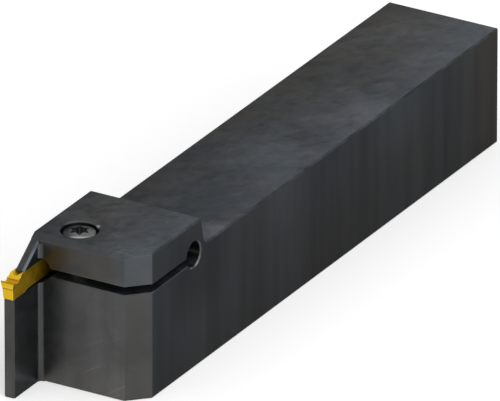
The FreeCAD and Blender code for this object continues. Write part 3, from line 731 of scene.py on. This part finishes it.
def tint_of_steel(n, steel):
    """Hue of the holder: clouds of blue, brown and violet, warmer at the rear, bluer to the left."""
    blue = n.ranged(steel.noises["hue"], BLUE_RANGE, (0.0, BLUE_CLOUD_SHARE))
    brown_share = n.across(steel.x, HEAD_TOP_X, BROWN_CLOUD_SHARE)
    brown = n.ranged(steel.noises["hue"], BROWN_RANGE, (0.0, brown_share))
    tint = n.mixed(blue, STEEL, STEEL_BLUE)
    tint = n.mixed(brown, tint, STEEL_BROWN)

    shank_delay = n.across(steel.x, BLUE_TOP_X, (TOP_BLUE_DELAY, 0.0))
    head_delay = n.across(steel.x, HEAD_BLUE_X, (0.0, HEAD_BLUE_DELAY))
    past_delay = n.maths("SUBTRACT", steel.leftward, n.maths("ADD", shank_delay, head_delay))
    top_blue = n.ranged(past_delay, TOP_BLUE_RANGE, (0.0, TOP_BLUE_SHARE))
    side_blue = n.across(steel.z, SIDE_BLUE_Z, SIDE_BLUE_SHARE)
    tint = n.mixed(n.weighed(steel.up, side_blue, top_blue), tint, STEEL_BLUE)

    rear_top = n.product(
        n.across(steel.x, REAR_TOP_X, (REAR_TOP_BROWN_SHARE, 0.0)),
        n.across(steel.y, REAR_TOP_Y, ON_TO_OFF),
        steel.up,
    )
    tint = n.mixed(rear_top, tint, STEEL_BROWN)
    violet = n.ranged(steel.noises["second_hue"], VIOLET_RANGE, (0.0, VIOLET_SHARE))
    tint = n.mixed(n.product(violet, steel.up, steel.leftward), tint, STEEL_VIOLET)
    rear_side = n.product(steel.side, n.across(steel.x, REAR_SIDE_X, (REAR_SIDE_WARM_SHARE, 0.0)))
    tint = n.mixed(rear_side, tint, STEEL_WARM)

    ground = n.ranged(n.maths("MAXIMUM", steel.up, steel.side), OFF_TO_ON, (GROUND_SHARE, 0.0))
    return n.mixed(ground, tint, tint_of_ground_faces(n, steel))


def steel_material():
    """Blackened alloy steel: cloudy on top, streaked upright on its sides, finely grained, with worn edges
    lightened further as a painted highlight.
    """
    material, n = new_material("blackened_steel")
    steel = Steel(n)
    patches = steel.noises["patches"]
    colour = n.shaded(tint_of_steel(n, steel), level_of_steel(n, steel))
    # Worn edges, lightened further as a painted highlight
    painted_edge_and_wear = n.product(edge_mask(n, WORN_HIGHLIGHT_RADIUS), n.ranged(patches, WORN_HIGHLIGHT_RANGE, WORN_HIGHLIGHT_SHARE))
    colour = n.mixed(painted_edge_and_wear, colour, STEEL_WORN_HIGHLIGHT)
    roughness = n.ranged(patches, GLOSS_RANGE, STEEL_ROUGHNESS)
    normal = n.bumped(steel.noises["grain"], GRAIN_HEIGHT, BUMP_STRENGTH)
    normal = n.bumped(steel.noises["waves"], WAVE_HEIGHT, BUMP_STRENGTH, normal)
    metal_output(n, colour, STEEL_EDGE_TINT, roughness, normal)
    return material


def insert_material():
    """Gold coating on ground carbide, with painted highlights on its edges and lines of painted shade.

    The lines of painted shade are at the step in both end faces, with a faint painted highlight above it,
    at the foot of the chip former's low step and along the cutting edge.
    """
    material, n = new_material("coated_carbide")
    coordinates = n.add("ShaderNodeTexCoord")
    place = coordinates.outputs["Object"]
    forward, _, height = n.separated(place)
    facing_forward, _, _ = n.separated(coordinates.outputs["Normal"])
    end_face = n.ranged(n.maths("ABSOLUTE", facing_forward), INSERT_END_LEAN, OFF_TO_ON)
    from_middle = n.distance(forward, INSERT_MIDDLE_X * MM)
    from_end = n.maths("SUBTRACT", INSERT_HALF_LENGTH * MM, from_middle)

    # Painted shade at the step, the chip former's foot and the cutting edge; a painted highlight above the
    # step
    step_shade = n.product(end_face, line(n, height, INSERT_STEP_Z, INSERT_STEP_WIDTH))
    brow_highlight = n.product(end_face, line(n, height, INSERT_BROW_Z, INSERT_BROW_WIDTH, INSERT_BROW_SHARE))
    foot_shade = n.product(
        end_face,
        n.across(from_end, CHIP_STEP_FROM_END, OFF_TO_ON),
        line(n, height, CHIP_STEP_FOOT_Z, CHIP_STEP_FOOT_WIDTH),
    )
    cutting_edge_shade = n.product(
        n.across(from_end, CUTTING_EDGE_FROM_END, ON_TO_OFF),
        line(n, height, CUTTING_EDGE_Z, CUTTING_EDGE_WIDTH),
    )
    # Painted highlight along the edges, left off the cutting edge
    highlight_share = n.maths("SUBTRACT", INSERT_HIGHLIGHT_SHARE, cutting_edge_shade)
    painted_edge_and_wear = n.maths("MAXIMUM", n.product(edge_mask(n, INSERT_HIGHLIGHT_RADIUS), highlight_share), 0.0)

    patches = n.noise(place, *INSERT_PATCH_NOISE)
    colour = n.mixed(n.ranged(patches, BLOTCH_RANGE, OFF_TO_ON), GOLD_DEEP, GOLD)
    colour = n.mixed(step_shade, colour, GOLD_PAINTED_SHADE)
    colour = n.mixed(brow_highlight, colour, GOLD_HIGHLIGHT)
    colour = n.mixed(foot_shade, colour, GOLD_PAINTED_SHADE)
    colour = n.mixed(painted_edge_and_wear, colour, GOLD_HIGHLIGHT)
    colour = n.mixed(cutting_edge_shade, colour, GOLD_PAINTED_SHADE)
    roughness = n.ranged(patches, GLOSS_RANGE, GOLD_ROUGHNESS)
    grain = n.noise(place, *INSERT_GRAIN_NOISE)
    normal = n.bumped(grain, INSERT_GRAIN_HEIGHT, INSERT_BUMP_STRENGTH)
    metal_output(n, colour, GOLD_EDGE_TINT, roughness, normal)
    return material


def towards(n, x, y, direction_from_above):
    """How far a place lies in one direction seen from above."""
    return n.maths(
        "ADD",
        n.product(x, direction_from_above[0]),
        n.product(y, direction_from_above[1]),
    )


def on_all_axes(n, value):
    """A vector with the same number on each axis, so that noise over a radius makes rings."""
    node = n.add("ShaderNodeCombineXYZ")
    for axis in range(3):
        n.feed(node.inputs[axis], value)
    return node.outputs[0]


def screw_material():
    """Dark steel with the rings of turning on its head.

    Painted shade darkens one side of the head, a painted highlight lies in a crescent on the other, and
    the socket is painted lighter to lift its shade.
    """
    material, n = new_material("screw_steel")
    place = n.add("ShaderNodeTexCoord").outputs["Object"]
    low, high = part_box("clamp_screw")
    middle = (low + high) / 2
    from_axis = n.add("ShaderNodeVectorMath", _operation="SUBTRACT")
    n.feed(from_axis.inputs[0], place)
    from_axis.inputs[1].default_value = (middle.x, middle.y, 0.0)
    x, y, z = n.separated(from_axis.outputs[0])
    radius = n.maths("SQRT", n.maths("ADD", n.maths("POWER", x, 2.0), n.maths("POWER", y, 2.0)))

    blotches = n.noise(place, *SCREW_BLOTCH_NOISE)
    colour = n.mixed(n.ranged(blotches, BLOTCH_RANGE, OFF_TO_ON), SCREW_DARK, SCREW_LIGHT)
    # Painted shade over one side of the head, and a painted highlight in a crescent on the other
    head_shade = n.across(towards(n, x, y, SCREW_SHADE_DIRECTION), SCREW_SHADE_REACH, SCREW_SHADE_LEVEL)
    colour = n.shaded(colour, head_shade)
    crescent_highlight = n.across(towards(n, x, y, SCREW_HIGHLIGHT_DIRECTION), SCREW_HIGHLIGHT_REACH, OFF_TO_ON)
    colour = n.mixed(crescent_highlight, colour, SCREW_HIGHLIGHT)
    # Painted light in the socket, lifting its shade
    in_socket = n.product(
        n.across(radius, SCREW_SOCKET_RADIUS, ON_TO_OFF),
        n.across(z, SCREW_HEAD_TOP_Z, ON_TO_OFF),
    )
    colour = n.mixed(in_socket, colour, SCREW_SOCKET_LIFT)
    roughness = n.ranged(blotches, GLOSS_RANGE, SCREW_ROUGHNESS)
    rings = n.noise(on_all_axes(n, radius), *SCREW_RING_NOISE)
    normal = n.bumped(rings, SCREW_RING_HEIGHT, SCREW_BUMP_STRENGTH)
    metal_output(n, colour, SCREW_EDGE_TINT, roughness, normal)
    return material


def dress(node, material):
    """Gives a CAD node its material."""
    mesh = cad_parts[node].data
    mesh.materials.clear()
    mesh.materials.append(material)


make_camera()
make_world()
make_lamp("key", KEY_AZIMUTH, KEY_ELEVATION, KEY_DISTANCE, KEY_SIZE, KEY_POWER)
make_floor()
dress("holder_body", steel_material())
dress("cutting_insert", insert_material())
dress("clamp_screw", screw_material())

bpy.context.scene.view_settings.view_transform = "Standard"
